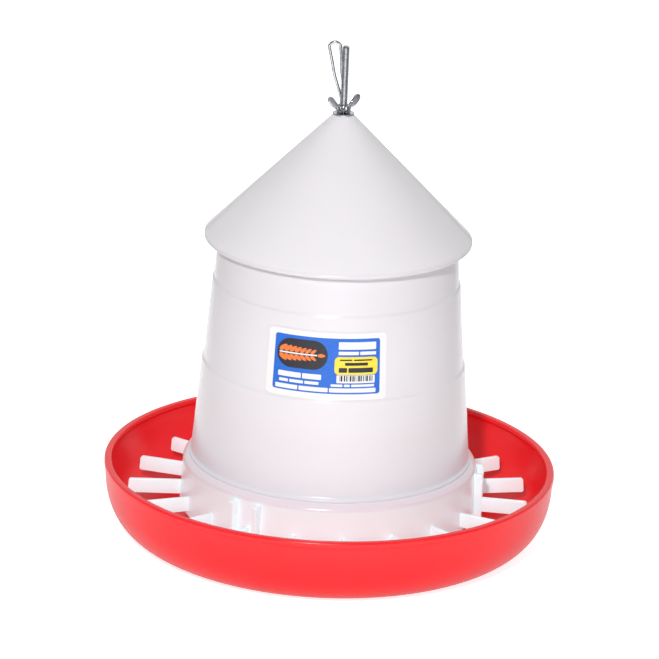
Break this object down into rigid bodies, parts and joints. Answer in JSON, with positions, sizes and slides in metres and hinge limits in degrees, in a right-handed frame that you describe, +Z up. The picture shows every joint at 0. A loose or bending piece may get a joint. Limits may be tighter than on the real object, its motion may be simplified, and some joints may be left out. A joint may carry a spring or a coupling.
{
  "type": "gravity poultry feeder",
  "caption": "Hanging gravity feeder for poultry: round pan, finned feed ring, tapering stepped hopper, conical lid, central threaded rod with a wing nut and a wire hanging loop.",
  "frame": {"origin": "centre of the pan's base circle, on the ground plane", "axes": "+Z up along the rod, the label faces -Y, +X to the right when the label is seen from the front"},
  "size_m": [0.305, 0.305, 0.3432],
  "materials": {
    "pan_plastic": "moulded red polypropylene, semi-gloss",
    "white_plastic": "natural translucent white polyethylene, soft gloss",
    "zinc_steel": "bright zinc plate",
    "label_print": null
  },
  "bodies": {
    "pan_and_rod": {"feed_pan": "pan_plastic", "threaded_rod": "zinc_steel", "pan_lower_washer": "zinc_steel", "pan_lower_nut": "zinc_steel", "pan_upper_washer": "zinc_steel", "pan_upper_nut": "zinc_steel"},
    "hopper": {"feed_ring": "white_plastic", "hopper_tube": "white_plastic", "hopper_label": "label_print"},
    "lid": {"cone_lid": "white_plastic", "lid_washer": "zinc_steel"},
    "wing_nut_body": {"wing_nut": "zinc_steel"},
    "loop": {"hanging_loop": "zinc_steel"}
  },
  "joints": [
    {"name": "hopper_turn", "type": "hinge", "parent": "pan_and_rod", "child": "hopper", "pos_m": [0, 0, 0], "axis": [0, 0, 1], "continuous": true},
    {"name": "lid_lift", "type": "slide", "parent": "pan_and_rod", "child": "lid", "axis": [0, 0, 1], "range_m": [0, 0.04]},
    {"name": "wing_nut_turn", "type": "hinge", "parent": "lid", "child": "wing_nut_body", "pos_m": [0, 0, 0.3], "axis": [0, 0, 1], "range_deg": [0, 13610]},
    {"name": "loop_swivel", "type": "hinge", "parent": "wing_nut_body", "child": "loop", "pos_m": [0, 0, 0.297], "axis": [0, 0, 1], "range_deg": [-25, 85]}
  ],
  "couplings": [
    {"joint": "wing_nut_turn", "follows": "lid_lift", "rad_per_m": 5936.9}
  ]
}
